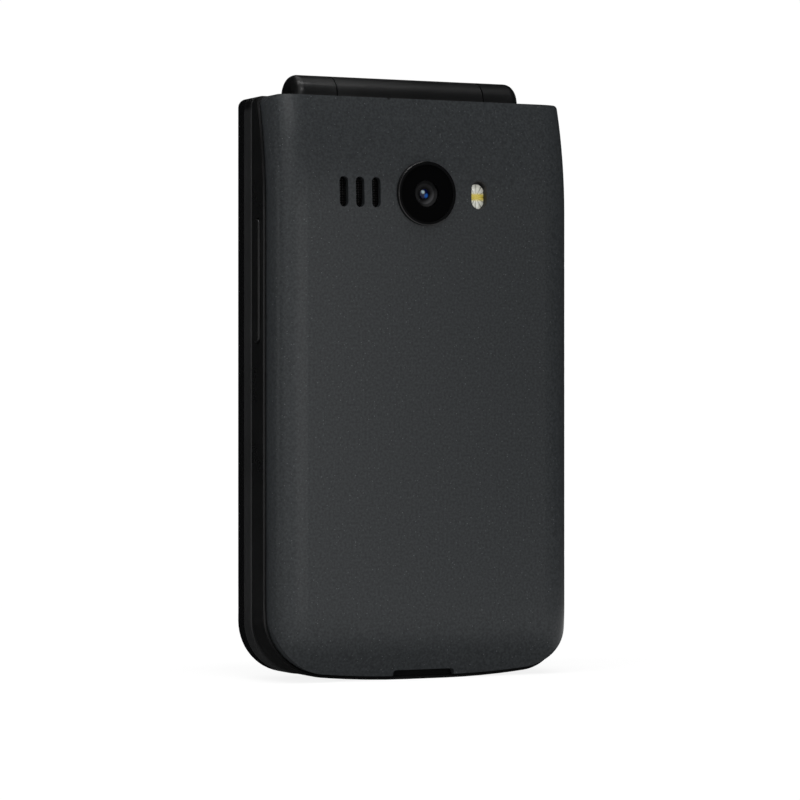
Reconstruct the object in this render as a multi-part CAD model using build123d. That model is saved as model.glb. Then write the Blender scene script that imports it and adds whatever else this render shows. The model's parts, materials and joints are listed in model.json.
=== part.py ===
from build123d import *
import os
from math import asin, cos, degrees, sqrt

# A clamshell phone, closed and standing on its bottom end. All sizes are in millimetres. X runs across the
# phone, Y from the lid towards the battery cover, and Z up to the hinge. The origin lies under the middle.
# Depths are counted from the lid's outer face, and depth_y turns them into Y.

# Whole phone
phone_width = 61.9
half_height = 107.2  # top edge of the lid and of the base
lid_depth = 7.1
fold_gap = 0.3
base_depth = 10.6
total_depth = lid_depth + fold_gap + base_depth
foot_width = 8.0  # straight middle of the bottom end
end_radius = 170.0  # the rest of the bottom end
corner_radius = 11.2  # lower corners of the base
lid_corner_radius = 9.8
top_corner_radius = 1.6
cover_corner_radius = 2.8  # upper corners of the cover, counted out to the side of the base
hinge_deck = 6.7  # solid material below the top edge, around the hinge
fit = 0.1  # clearance between fixed neighbours
edge_ease = 0.25  # small rounding of the edges on both sides of the fold

# Hinge
barrel_radius = 4.1
barrel_rise = 4.35  # how far the barrel stands above the top edge
barrel_depth = 6.5
barrel_length = 30.0  # middle barrel, on the lid
barrel_gap = 0.2  # between the barrel's end and a knuckle
knuckle_lengths = {-1: 7.7, 1: 8.3}  # outer knuckles, on the base, by the side that they are on
knuckle_rounding = 1.8
barrel_clearance = 0.35
pin_radius = 1.5
pin_fit = 0.05
pin_reach = 5.6  # how deep the pin and the shaft enter on each side
hinge_module_radius = 2.8
hinge_module_length = 16.0

# Back of the base
top_bend_length = 20.6  # the back bends forwards over this much below the top edge
top_bend_radius = 71.0
bottom_bend_height = 13.0
bottom_bend_radius = 50.0
edge_width = 6.0  # rounding along the sides of the cover, across
edge_depth = 5.0  # and in depth
edge_fullness = 0.66
seam_depth = 12.8
seam_low_height = 15.0  # below this height the seam sweeps backwards
seam_sweep_radius = 35.7
lip_width = 0.45
cover_gap = 0.2
ledge_drop = 0.6
cover_wall = 1.2
pry_width = 12.5
pry_height = 1.1
pry_x = 0.3
notch_x = 6.7  # small notch in the cover's top edge
notch_width = 0.55
notch_height = 0.3
tongue_length = 6.0
tongue_wall = 0.5
tongue_depth = 0.9
tongue_low = 30.0  # heights of the three tongues on each side
tongue_pitch = 22.0
tongue_drop = 13.2  # of the highest one, below the top edge

# Base layers
side_wall = 1.8
key_plate = 1.2
key_play = 0.05
key_flange = 0.4
key_plunger = 0.2
key_travel = 0.35
dome_height = 0.25
board_thickness = 0.8
floor_wall = 0.75
skirt_wall = 0.9
boss_radius = 1.7
boss_inset = 3.8  # from the side of the phone to a boss's axis
boss_low = 12.0
boss_spacing = 5.05  # from the volume key's flange to the middle boss's axis
boss_drop = 11.7  # of the highest boss, below the top edge
screw_radius = 0.7
screw_head_radius = 1.2
screw_head_depth = 0.7

# Keys
key_recess = 0.1
key_clearance = 0.14
flange_width = 0.45
key_margin = 6.3  # from the side of the phone to the outer columns
key_spacing = 1.1
digit_height = 8.6
row_pitch = 11.4
first_row_height = 13.6
call_row_rise = 12.2  # from the top row of numbers to the call row
key_rounding = 2.2
nav_spacing = 4.2  # between the call row and the navigation ring
nav_width = 21.0
nav_rounding = 7.0
nav_clearance = 0.2
ok_radius = 4.8
ok_clearance = 0.35
ok_stem_radius = 1.2
rocker_width = 17.0
rocker_height = 4.4
rocker_depth = 0.2
ring_foot_gap = 0.1
soft_key_margin = 4.5
soft_key_spacing = 5.4  # from the navigation ring
soft_key_height = 19.0
dome_radius = 2.2
dome_top_radius = 1.2

# Volume key
volume_drop = 33.95  # from the top edge to the key's middle
volume_length = 22.7
volume_width = 2.4
volume_depth = 10.3
volume_rise = 0.5
volume_rounding = 0.35
volume_flange = 0.65
volume_flange_extra = 0.85
volume_swing = 0.4  # room behind the wall for the rocking motion
volume_nub = 0.52  # radius of the round nub that the key rocks on
volume_pocket = 2.1
switch_board = 0.4
switch_inset = 3.35  # from the key's end to the switch below it
switch_button = 0.35

# Parts inside the base
battery_margin = 8.8  # from the side of the phone
battery_drop = 41.0  # from the top edge to the battery
battery_low = 17.6
battery_depth = 4.6
battery_clearance = 0.3
window_margin = 5.3  # from the side of the phone to the window over the shield cans
beam_height = 3.5  # between the battery bay and that window
window_drop_top = 8.6  # from the top edge to that window
inner_rounding = 1.0
carrier_depth = 12.9
carrier_wall = 1.0
can_depth = 1.8
row_drop = 17.65  # the camera, the flash and the loudspeaker lie in one row, this far below the top edge
camera_x = 0.55
camera_side = 8.6
camera_body_depth = 4.0
camera_barrel_radius = 3.4
camera_barrel_top = 17.7
lens_cone_radius = 2.5
lens_cone_depth = 0.5
lens_radius = 0.95
lens_bulge = 0.35
ring_radius = 5.95
ring_bore = 5.3
ring_seat = 4.3
ring_stem = 5.6
ring_rise = 0.65
window_drop = 0.25
window_thickness = 0.55
flash_x = -10.45
flash_width = 3.3
flash_height = 5.4
flash_drop = 0.9
flash_thickness = 0.8
lamp_side = 2.0
lamp_depth = 1.6
speaker_margin = 17.1  # from the side of the phone to the middle of the loudspeaker
slot_pitch = 3.26
slot_width = 1.75
slot_height = 5.6
slot_count = 3
speaker_spacing = 1.0  # from the camera to the loudspeaker
speaker_height = 11.0
speaker_depth = 1.9
mesh_thickness = 0.3
usb_width = 8.94
usb_depth = 3.16
usb_length = 7.3
usb_wall = 0.3
usb_recess = 0.3
usb_tongue_width = 6.7
usb_tongue_depth = 0.7
jack_x = -17.0
jack_width = 6.0
jack_body_depth = 3.8
jack_length = 13.6
jack_bore_radius = 1.8
jack_bore_length = 12.6
jack_collar_radius = 2.15
jack_recess = 0.9
motor_x = 17.0
motor_height = 9.4
motor_radius = 4.0
motor_depth = 2.6
mic_x = 9.5
mic_height = 6.3
mic_side = 3.0
mic_depth = 1.0
mic_hole_radius = 0.45
reader_width = 15.0
reader_height = 11.5
reader_depth = 1.3
reader_wall = 0.28
card_width = 12.5
card_stop = 1.0
contact_width = 12.0
contact_height = 2.4
contact_depth = 3.0
blade_width = 1.4
blade_pitch = 3.6

# Lid
lid_split = 3.9
lid_wall = 1.2
lid_side_wall = 1.5
lid_edge_radius = 1.3
glass_recess = 0.85
glass_thickness = 0.75
glass_gap = 0.15
outer_window_margin = 11.8  # from the side of the phone
outer_window_height = 34.0
outer_window_drop = 20.2  # from the top edge
outer_panel_depth = 1.3
view_margin = 2.5  # how far a window overlaps its wall all round
main_window_margin = 5.05
main_window_low = 18.0
main_window_drop = 11.2
main_panel_depth = 1.85
panel_margin = 0.8
panel_rounding = 0.6
chassis_depth = 3.15
chassis_thickness = 0.4
lid_board_margin = 8.8
lid_board_height = 26.0
lid_board_spacing = 7.0  # below the outer window
earpiece_z = 10.0
earpiece_width = 12.0
earpiece_height = 5.0
earpiece_slot = 9.0
earpiece_slot_height = 1.2
bumper_radius = 1.5
bumper_recess = 0.5
bumper_rise = 0.18
bumper_inset = 7.8  # from the side of the phone
bumper_low = 6.0
bumper_drop = 7.2
lid_screw_inset = 6.2
lid_screw_low = 12.6
lid_screw_x = 15.0  # of the two near the hinge
lid_screw_drop = 9.1

# Depths that follow from the sizes above
base_front = lid_depth + fold_gap
plate_back = base_front + key_plate
flange_back = plate_back + key_play + key_flange
plunger_back = flange_back + key_plunger
dome_front = plunger_back + key_travel + key_play
board_front = dome_front + dome_height
board_back = board_front + board_thickness
floor_front = board_back + key_play
bay_floor = floor_front + floor_wall
ledge_depth = seam_depth - ledge_drop
cover_inset = lip_width + cover_gap
carrier_top = carrier_depth + carrier_wall
barrel_z = half_height + barrel_rise - barrel_radius
knuckle_start = barrel_length / 2 + barrel_gap
hinge_reach = knuckle_start + max(knuckle_lengths.values()) + barrel_clearance
battery_height = half_height - battery_drop - battery_low
bay_high = battery_low + battery_height + battery_clearance
window_low = bay_high + beam_height
window_high = half_height - window_drop_top
window_half_width = phone_width / 2 - window_margin
battery_width = phone_width - 2 * battery_margin
top_bend_height = half_height - top_bend_length
row_height = half_height - row_drop
volume_height = half_height - volume_drop
column_pitch = (phone_width - 2 * key_margin + key_spacing) / 3
digit_width = column_pitch - key_spacing
call_row_height = first_row_height + 3 * row_pitch + call_row_rise
nav_height = call_row_height + digit_height / 2 + nav_spacing + nav_width / 2
soft_key_width = phone_width / 2 - soft_key_margin - nav_width / 2 - soft_key_spacing
soft_key_x = phone_width / 2 - soft_key_margin - soft_key_width / 2
speaker_x = phone_width / 2 - speaker_margin
speaker_width = 2 * (speaker_x - camera_x - camera_side / 2 - speaker_spacing)
boss_x = phone_width / 2 - boss_inset
boss_middle = volume_height - volume_length / 2 - volume_flange_extra - boss_spacing
boss_heights = (boss_low, boss_middle, half_height - boss_drop)
tongue_heights = (tongue_low, tongue_low + tongue_pitch, half_height - tongue_drop)
outer_window_width = phone_width - 2 * outer_window_margin
outer_window_z = half_height - outer_window_drop - outer_window_height / 2
main_window_width = phone_width - 2 * main_window_margin
main_window_height = half_height - main_window_drop - main_window_low
main_window_z = main_window_low + main_window_height / 2
lid_board_width = phone_width - 2 * lid_board_margin
lid_board_z = outer_window_z - outer_window_height / 2 - lid_board_spacing - lid_board_height / 2
bumper_x = phone_width / 2 - bumper_inset
lid_screw_low_x = phone_width / 2 - lid_screw_inset
lid_screw_high = half_height - lid_screw_drop
beyond = 5.0  # how far cutting shapes run past what they cut

parts = {}
bumper_spots = [(side * bumper_x, z) for z in (bumper_low, half_height - bumper_drop) for side in (-1, 1)]
lid_screw_spots = [(side * lid_screw_low_x, lid_screw_low) for side in (-1, 1)]
lid_screw_spots += [(side * lid_screw_x, lid_screw_high) for side in (-1, 1)]


def depth_y(depth):
    """Y of a plane at this depth behind the lid's outer face."""
    return depth - total_depth / 2


def slab(sketch, near, far):
    """Solid between two depths, from an outline drawn in X and Z."""
    plane = Plane((0, depth_y(far), 0), x_dir=(1, 0, 0), z_dir=(0, -1, 0))
    return extrude(plane * sketch, amount=far - near)


def brick(width, height, x, z, near, far):
    return slab(Pos(x, z) * Rectangle(width, height), near, far)


def tile(width, height, rounding, x, z, near, far):
    return slab(Pos(x, z) * RectangleRounded(width, height, rounding), near, far)


def peg(radius, x, z, near, far):
    return slab(Pos(x, z) * Circle(radius), near, far)


def tall_slot(width, height, x, z, near, far):
    return slab(Pos(x, z) * SlotOverall(height, width, rotation=90), near, far)


def rod_across(radius, x_from, x_to):
    """Cylinder on the hinge axis."""
    plane = Plane((x_from, depth_y(barrel_depth), barrel_z), x_dir=(0, 1, 0), z_dir=(1, 0, 0))
    return extrude(plane * Circle(radius), amount=x_to - x_from)


def rod_up(sketch, x, depth, z_from, z_to):
    """Upright prism, from a sketch drawn in X and depth."""
    return extrude(Pos(x, depth_y(depth), z_from) * sketch, amount=z_to - z_from)


def outline(inset=0.0, top_inset=None, corner=corner_radius, top_corner=top_corner_radius):
    """Outline of a half in X and Z, moved inwards."""
    top_inset = inset if top_inset is None else top_inset
    side = phone_width / 2 - inset
    high = half_height - top_inset
    foot_x = foot_width / 2
    corner_x = phone_width / 2 - corner
    lean = asin((corner_x - foot_x) / (end_radius - corner))
    corner_z = end_radius - (end_radius - corner) * cos(lean)
    top_radius = max(top_corner - inset, 0.2)
    half = make_face([
        Line((0, inset), (foot_x, inset)),
        CenterArc((foot_x, end_radius), end_radius - inset, 270, degrees(lean)),
        CenterArc((corner_x, corner_z), corner - inset, 270 + degrees(lean), 90 - degrees(lean)),
        Line((side, corner_z), (side, high - top_radius)),
        CenterArc((side - top_radius, high - top_radius), top_radius, 0, 90),
        Line((side - top_radius, high), (0, high)),
        Line((0, high), (0, inset)),
    ])
    return half + mirror(half, about=Plane.YZ)


def lid_outline(inset=0.0, top_inset=None):
    return outline(inset, top_inset, lid_corner_radius)


def rear_form(inset):
    """Everything in front of the back's skin, which rounds off at the sides and bends at both ends."""
    side = phone_width / 2 - cover_inset - inset
    back = depth_y(total_depth) - inset
    start = back - edge_depth
    front = depth_y(lid_depth)
    rise = edge_fullness * edge_depth
    blend = (1 - edge_fullness) * edge_width
    half = make_face([
        Line((0, front), (side, front)),
        Line((side, front), (side, start)),
        Bezier((side, start), (side, start + rise), (side - blend, back), (side - edge_width, back)),
        Line((side - edge_width, back), (0, back)),
        Line((0, back), (0, front)),
    ])
    section = half + mirror(half, about=Plane.YZ)
    middle = extrude(Pos(0, 0, bottom_bend_height) * section, amount=top_bend_height - bottom_bend_height)
    top_turn = asin((half_height - top_bend_height + beyond) / (top_bend_radius - base_depth))
    top_axis = Axis((0, depth_y(total_depth) - top_bend_radius, top_bend_height), (1, 0, 0))
    top = revolve(Pos(0, 0, top_bend_height) * section, axis=top_axis, revolution_arc=degrees(top_turn))
    low_turn = asin((bottom_bend_height + beyond) / (bottom_bend_radius - base_depth))
    low_axis = Axis((0, depth_y(total_depth) - bottom_bend_radius, bottom_bend_height), (-1, 0, 0))
    bottom = revolve(Pos(0, 0, bottom_bend_height) * section, axis=low_axis, revolution_arc=degrees(low_turn))
    return middle + top + bottom


def before_seam(shift=0.0):
    """Everything in front of the seam between the frame and the battery cover, or of a face beside it."""
    front = depth_y(0) - beyond
    low_z = -beyond
    high_z = half_height + beyond
    low_radius = seam_sweep_radius - shift
    low_angle = degrees(asin((seam_low_height - low_z) / low_radius))
    low_y = depth_y(seam_depth) + seam_sweep_radius - sqrt(low_radius**2 - (seam_low_height - low_z) ** 2)
    top_centre = depth_y(total_depth) - top_bend_radius
    top_radius = top_bend_radius - total_depth + seam_depth + shift
    top_angle = degrees(asin((high_z - top_bend_height) / top_radius))
    top_y = top_centre + sqrt(top_radius**2 - (high_z - top_bend_height) ** 2)
    seam_y = depth_y(seam_depth) + shift
    profile = make_face([
        Line((front, low_z), (low_y, low_z)),
        CenterArc((seam_y + low_radius, seam_low_height), low_radius, 180 + low_angle, -low_angle),
        Line((seam_y, seam_low_height), (seam_y, top_bend_height)),
        CenterArc((top_centre, top_bend_height), top_radius, 0, top_angle),
        Line((top_y, high_z), (front, high_z)),
        Line((front, high_z), (front, low_z)),
    ])
    half_span = phone_width / 2 + beyond
    plane = Plane((-half_span, 0, 0), x_dir=(0, 1, 0), z_dir=(1, 0, 0))
    return extrude(plane * profile, amount=2 * half_span)


def edges_at_depth(solid, depth):
    """Outer edges of a solid that lie in the plane at this depth."""
    plane_y = depth_y(depth)
    face = solid.faces().filter_by(Axis.Y).sort_by(lambda f: abs(f.center().Y - plane_y))[0]
    return face.outer_wire().edges()


def screw(x, z, head, tip):
    """Pan head screw along Y, with its slotted head at the greater depth."""
    body = peg(screw_head_radius, x, z, head - screw_head_depth, head)
    body += peg(screw_radius, x, z, tip, head - screw_head_depth / 2)
    return body - brick(screw_head_radius, screw_radius / 2, x, z, head - screw_head_depth / 2, head)


def key_plan():
    """Name, middle, width and height of every plain key."""
    plan = []
    names = (("key_star", "key_0", "key_hash"), ("key_7", "key_8", "key_9"),
             ("key_4", "key_5", "key_6"), ("key_1", "key_2", "key_3"))
    for row, row_names in enumerate(names):
        for column, name in enumerate(row_names):
            x = (column - 1) * column_pitch
            z = first_row_height + row * row_pitch
            plan.append((name, x, z, digit_width, digit_height))
    for column, name in enumerate(("call_key", "clear_key", "end_key")):
        plan.append((name, (column - 1) * column_pitch, call_row_height, digit_width, digit_height))
    for side, name in ((-1, "soft_key_left"), (1, "soft_key_right")):
        plan.append((name, side * soft_key_x, nav_height, soft_key_width, soft_key_height))
    return plan


def make_keys():
    for name, x, z, width, height in key_plan():
        cap = tile(width, height, key_rounding, x, z, base_front + key_recess, plate_back + key_play)
        cap = fillet(edges_at_depth(cap, base_front + key_recess), edge_ease)
        wide = width + 2 * flange_width
        tall = height + 2 * flange_width
        flange = tile(wide, tall, key_rounding, x, z, plate_back + key_play, flange_back)
        parts[name] = cap + flange + peg(dome_top_radius, x, z, flange_back, plunger_back)
    ring_back = plunger_back - key_travel / 2 + key_play
    ring = tile(nav_width, nav_width, nav_rounding, 0, nav_height, base_front + key_recess, ring_back)
    ring = fillet(edges_at_depth(ring, base_front + key_recess), edge_ease)
    parts["nav_ring"] = ring - peg(ok_radius + ok_clearance, 0, nav_height, base_front, ring_back)
    rocker_front = ring_back + ring_foot_gap
    rocker_back = rocker_front + rocker_depth
    rocker = tile(rocker_width, rocker_height, key_rounding / 2, 0, nav_height, rocker_front, rocker_back)
    parts["nav_rocker"] = rocker - peg(ok_stem_radius + ok_clearance, 0, nav_height, plate_back, board_back)
    ok_back = plate_back - key_travel / 2
    ok_cap = peg(ok_radius, 0, nav_height, base_front + key_recess, ok_back)
    ok_cap = fillet(edges_at_depth(ok_cap, base_front + key_recess), edge_ease)
    parts["ok_key"] = ok_cap + peg(ok_stem_radius, 0, nav_height, ok_back, plunger_back)


def dome_spots():
    spots = [(x, z) for _, x, z, _, _ in key_plan()]
    reach = nav_width / 2 - dome_radius - key_play
    spots += [(0, nav_height), (-reach, nav_height), (reach, nav_height)]
    spots += [(0, nav_height - reach), (0, nav_height + reach)]
    return spots


def make_front_case():
    case = slab(outline(), base_front, plate_back)
    case = fillet(edges_at_depth(case, base_front), edge_ease)
    outer = side_wall + fit
    top = hinge_deck + fit
    skirt = slab(outline(outer, top), plate_back, board_front - fit)
    skirt -= slab(outline(outer + skirt_wall, top + skirt_wall), plate_back, board_front)
    skirt -= brick(volume_pocket + 2 * side_wall, volume_length + 2 * volume_flange_extra + 2 * side_wall,
                   phone_width / 2 - side_wall, volume_height, plate_back, board_front)
    skirt -= brick(usb_width + 2 * fit + skirt_wall, 2 * usb_length, 0, 0, plate_back, board_front)
    case += skirt
    for z in boss_heights:
        for side in (-1, 1):
            case += peg(boss_radius, side * boss_x, z, plate_back, board_back)
            case -= peg(screw_radius + pin_fit / 2, side * boss_x, z, plate_back, board_back)
    case -= rod_across(barrel_radius + barrel_clearance, -hinge_reach, hinge_reach)
    for side, length in knuckle_lengths.items():
        start, end = sorted((side * knuckle_start, side * (knuckle_start + length)))
        knuckle = rod_across(barrel_radius, start, end)
        outer_end = knuckle.faces().sort_by(Axis.X)[-1 if side > 0 else 0]
        knuckle = fillet(outer_end.edges(), knuckle_rounding)
        web_middle = (start + end) / 2
        web = brick(length - 2 * knuckle_rounding, barrel_z - window_high, web_middle,
                    (barrel_z + window_high) / 2, base_front, board_front)
        above = half_height + barrel_radius / 2
        web -= brick(length, barrel_radius, web_middle, above, base_front, board_front)
        case += knuckle + web
        bore_ends = sorted((side * knuckle_start, side * (knuckle_start + pin_reach)))
        case -= rod_across(pin_radius + pin_fit, *bore_ends)
    for _, x, z, width, height in key_plan():
        wide = width + 2 * key_clearance
        tall = height + 2 * key_clearance
        case -= tile(wide, tall, key_rounding, x, z, base_front, plate_back)
    nav_opening = nav_width + 2 * nav_clearance
    case -= tile(nav_opening, nav_opening, nav_rounding, 0, nav_height, base_front, plate_back)
    case -= peg(mic_hole_radius, mic_x, mic_height, base_front, plate_back)
    parts["base_front_case"] = case


def lower_pockets():
    """Space for the jack, the USB socket and the motor in the frame's lower end."""
    jack_depth = board_back + key_play + jack_body_depth / 2
    pockets = brick(jack_width + 2 * fit, jack_length + fit, jack_x, side_wall + fit + jack_length / 2,
                    board_back, total_depth)
    pockets += rod_up(Circle(jack_collar_radius), jack_x, jack_depth, -beyond, side_wall + fit)
    usb_depth_middle = (board_front + board_back) / 2
    usb_shape = RectangleRounded(usb_width + 2 * fit, usb_depth + 2 * fit, usb_depth / 2)
    pockets += rod_up(usb_shape, 0, usb_depth_middle, -beyond, usb_recess + usb_length + fit)
    pockets += peg(motor_radius + fit, motor_x, motor_height, board_back, total_depth)
    return pockets


def volume_box(width, length, x_from, x_to):
    """Stadium bar along Z in the side wall."""
    plane = Plane((x_from, depth_y(volume_depth), volume_height), x_dir=(0, 1, 0), z_dir=(1, 0, 0))
    return extrude(plane * SlotOverall(length, width, rotation=90), amount=x_to - x_from)


def make_rear_frame():
    frame = slab(outline(), plate_back, total_depth) & before_seam()
    frame -= slab(outline(lip_width, -top_corner_radius), plate_back, total_depth) - before_seam(-ledge_drop)
    frame -= slab(outline(side_wall, hinge_deck), plate_back, floor_front)
    bay_width = battery_width + 2 * battery_clearance
    bay_height = battery_height + 2 * battery_clearance
    bay_middle = battery_low + battery_height / 2
    frame -= tile(bay_width, bay_height, inner_rounding, 0, bay_middle, bay_floor, total_depth)
    window_height = window_high - window_low
    window_z = (window_high + window_low) / 2
    window_width = 2 * window_half_width
    frame -= tile(window_width, window_height, 1.5 * inner_rounding, 0, window_z, plate_back, total_depth)
    frame -= lower_pockets()
    frame -= rod_across(barrel_radius + barrel_clearance, -hinge_reach, hinge_reach)
    for side, length in knuckle_lengths.items():
        web_x = side * (knuckle_start + length / 2)
        web_width = length - 2 * knuckle_rounding + 2 * fit
        frame -= brick(web_width, barrel_z - window_high + fit, web_x, (barrel_z + window_high - fit) / 2,
                       plate_back, board_front + fit)
        for z in boss_heights:
            frame -= peg(screw_radius + fit, side * boss_x, z, plate_back, total_depth)
            head_floor = ledge_depth - screw_head_depth - fit
            frame -= peg(screw_head_radius + fit, side * boss_x, z, head_floor, total_depth)
        for z in tongue_heights:
            frame -= tongue(side, z, fit)
    wall_inside = phone_width / 2 - side_wall
    opening_width = volume_width + 2 * key_clearance
    opening_length = volume_length + 2 * key_clearance
    frame -= volume_box(opening_width, opening_length, wall_inside, phone_width)
    flange_length = volume_length + 2 * volume_flange_extra
    frame -= brick(volume_pocket, flange_length + 4 * fit, wall_inside - volume_pocket / 2, volume_height,
                   plate_back, volume_depth + volume_width / 2 + 4 * fit)
    beam_middle = bay_high + contact_height / 2 + fit
    frame -= brick(contact_width + 2 * fit, contact_height + 4 * fit, 0, beam_middle, bay_floor, total_depth)
    parts["base_rear_frame"] = frame


def tongue(side, z, spread=0.0):
    """Locating tongue of the cover, beside the ledge."""
    x = side * (phone_width / 2 - cover_inset - cover_wall / 2)
    deep = tongue_depth + spread
    ledge = ledge_at(z)
    return brick(tongue_wall + 2 * spread, tongue_length + 2 * spread, x, z, ledge - deep, ledge + ledge_drop)


def ledge_at(z):
    """Depth of the ledge at a height."""
    bent = max(z + tongue_length / 2 - top_bend_height, 0)
    ledge_radius = top_bend_radius - total_depth + ledge_depth
    return ledge_depth - ledge_radius + sqrt(ledge_radius**2 - bent**2)


def make_boards():
    board = slab(outline(side_wall + 3 * fit, hinge_deck + 3 * fit), board_front, board_back)
    for z in boss_heights:
        for side in (-1, 1):
            board -= peg(boss_radius + 2 * fit, side * boss_x, z, board_front, board_back)
    board -= brick(usb_width + 4 * fit, 2 * (usb_recess + usb_length + 2 * fit), 0, 0, board_front, board_back)
    wall_inside = phone_width / 2 - side_wall
    pocket_length = volume_length + 2 * volume_flange_extra + 6 * fit
    pocket_width = 2 * volume_pocket + 2 * fit
    board -= brick(pocket_width, pocket_length, wall_inside, volume_height, board_front, board_back)
    parts["main_board"] = board
    on_base = (Align.CENTER, Align.CENTER, Align.MIN)
    domes = []
    for x, z in dome_spots():
        plane = Plane((x, depth_y(board_front), z), x_dir=(1, 0, 0), z_dir=(0, -1, 0))
        domes.append(plane * Cone(dome_radius, dome_top_radius, dome_height, align=on_base))
    parts["key_domes"] = Compound(children=domes)
    inner = window_half_width - carrier_wall - 4 * fit
    camera_room = camera_side / 2 + carrier_wall
    cans = []
    lower_top = row_height - camera_side / 2 - 2 * fit
    lower = window_low + carrier_wall + 4 * fit
    upper_top = window_high - carrier_wall - 4 * fit
    for side in (-1, 1):
        low_x = side * (inner + carrier_wall) / 2
        low_z = (lower + lower_top) / 2
        cans.append(tile(inner - carrier_wall, lower_top - lower, panel_rounding, low_x, low_z,
                         board_back, board_back + can_depth))
        high_x = side * (inner + camera_room) / 2
        high_low = lower_top + carrier_wall
        high_z = (high_low + upper_top) / 2
        cans.append(tile(inner - camera_room, upper_top - high_low, panel_rounding, high_x, high_z,
                         board_back, board_back + can_depth))
    parts["shield_cans"] = Compound(children=cans)


def make_battery():
    front = bay_floor + fit
    middle = battery_low + battery_height / 2
    pack = tile(battery_width, battery_height, inner_rounding, 0, middle, front, front + battery_depth)
    pack = fillet(pack.edges().filter_by(GeomType.LINE).filter_by(Axis.X), edge_ease)
    parts["battery"] = pack
    low = bay_high + fit
    block_z = low + contact_height / 2
    block = brick(contact_width, contact_height, 0, block_z, bay_floor + fit, bay_floor + contact_depth)
    for step in (-1, 0, 1):
        blade_height = battery_clearance + fit
        block += brick(blade_width, blade_height, step * blade_pitch, low - blade_height / 2 + pin_fit,
                       bay_floor + contact_depth / 3, bay_floor + contact_depth / 2)
    parts["battery_contacts"] = block


def make_upper_parts():
    """Carrier over the shield cans, with the camera, the loudspeaker, the flash lamp and the card readers."""
    middle = (window_high + window_low) / 2
    height = window_high - window_low - 2 * fit
    width = 2 * window_half_width - 2 * fit
    carrier = tile(width, height, 1.4 * inner_rounding, 0, middle, board_back, carrier_top)
    room_width = width - 2 * carrier_wall
    room_height = height - 2 * carrier_wall
    carrier -= tile(room_width, room_height, 0.4 * inner_rounding, 0, middle, board_back, carrier_depth)
    hole = camera_side + 2 * fit
    carrier -= brick(hole, hole, camera_x, row_height, board_back, carrier_top)
    parts["antenna_carrier"] = carrier
    camera = brick(camera_side, camera_side, camera_x, row_height, board_back, board_back + camera_body_depth)
    camera += peg(camera_barrel_radius, camera_x, row_height, board_back, camera_barrel_top)
    cone = Plane((camera_x, depth_y(camera_barrel_top), row_height), x_dir=(1, 0, 0), z_dir=(0, -1, 0))
    on_base = (Align.CENTER, Align.CENTER, Align.MIN)
    camera -= cone * Cone(lens_cone_radius, lens_radius, lens_cone_depth, align=on_base)
    camera -= peg(lens_radius, camera_x, row_height, camera_barrel_top - 2 * lens_cone_depth, camera_barrel_top)
    parts["camera_module"] = camera
    lens_base = camera_barrel_top - 2 * lens_cone_depth
    lens = peg(lens_radius - pin_fit, camera_x, row_height, lens_base, lens_base + lens_cone_depth)
    bulge_radius = (lens_radius**2 + lens_bulge**2) / (2 * lens_bulge)
    ball_depth = lens_base + lens_cone_depth + lens_bulge - bulge_radius
    ball = Pos(camera_x, depth_y(ball_depth), row_height) * Sphere(bulge_radius)
    cap_room = peg(lens_radius - pin_fit, camera_x, row_height, lens_base + lens_cone_depth / 2, total_depth)
    parts["camera_lens"] = lens + (ball & cap_room)
    parts["loudspeaker"] = tile(speaker_width, speaker_height, 1.5 * inner_rounding, speaker_x, row_height,
                                carrier_top, carrier_top + speaker_depth)
    lamp_step = carrier_top + lamp_depth / 2
    lamp = brick(1.5 * lamp_side, 1.5 * lamp_side, flash_x, row_height, carrier_top, lamp_step)
    lamp += brick(lamp_side, lamp_side, flash_x, row_height, lamp_step, carrier_top + lamp_depth)
    parts["flash_lamp"] = lamp
    readers = []
    for side in (-1, 1):
        x = side * (window_half_width + carrier_wall) / 2
        z = window_low + carrier_wall + reader_height / 2
        shell = brick(reader_width, reader_height, x, z, carrier_top, carrier_top + reader_depth)
        slot_back = carrier_top + reader_depth - reader_wall
        shell -= brick(card_width, reader_height, x, z - card_stop, carrier_top + reader_wall, slot_back)
        readers.append(shell)
    parts["card_readers"] = Compound(children=readers)


def make_lower_parts():
    jack_depth = board_back + key_play + jack_body_depth / 2
    low = side_wall + 2 * fit
    jack = rod_up(Rectangle(jack_width, jack_body_depth), jack_x, jack_depth, low, low + jack_length - fit)
    jack += rod_up(Circle(jack_collar_radius - fit), jack_x, jack_depth, jack_recess, low)
    jack -= rod_up(Circle(jack_bore_radius), jack_x, jack_depth, 0, jack_recess + jack_bore_length)
    parts["headphone_jack"] = jack
    middle = (board_front + board_back) / 2
    high = usb_recess + usb_length
    rounding = usb_depth / 2 - pin_fit
    socket = rod_up(RectangleRounded(usb_width, usb_depth, rounding), 0, middle, usb_recess, high)
    inner_width = usb_width - 2 * usb_wall
    inner_depth = usb_depth - 2 * usb_wall
    inner = RectangleRounded(inner_width, inner_depth, rounding - usb_wall)
    socket -= rod_up(inner, 0, middle, 0, high - usb_wall)
    socket += rod_up(Rectangle(usb_tongue_width, usb_tongue_depth), 0, middle, usb_recess + 2 * usb_wall, high)
    parts["usb_socket"] = socket
    parts["vibration_motor"] = peg(motor_radius, motor_x, motor_height, board_back, board_back + motor_depth)
    mic = brick(mic_side, mic_side, mic_x, mic_height, board_front - mic_depth, board_front)
    mic_face = board_front - mic_depth
    parts["microphone"] = mic - peg(mic_hole_radius, mic_x, mic_height, mic_face, mic_face + mic_depth / 2)


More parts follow.
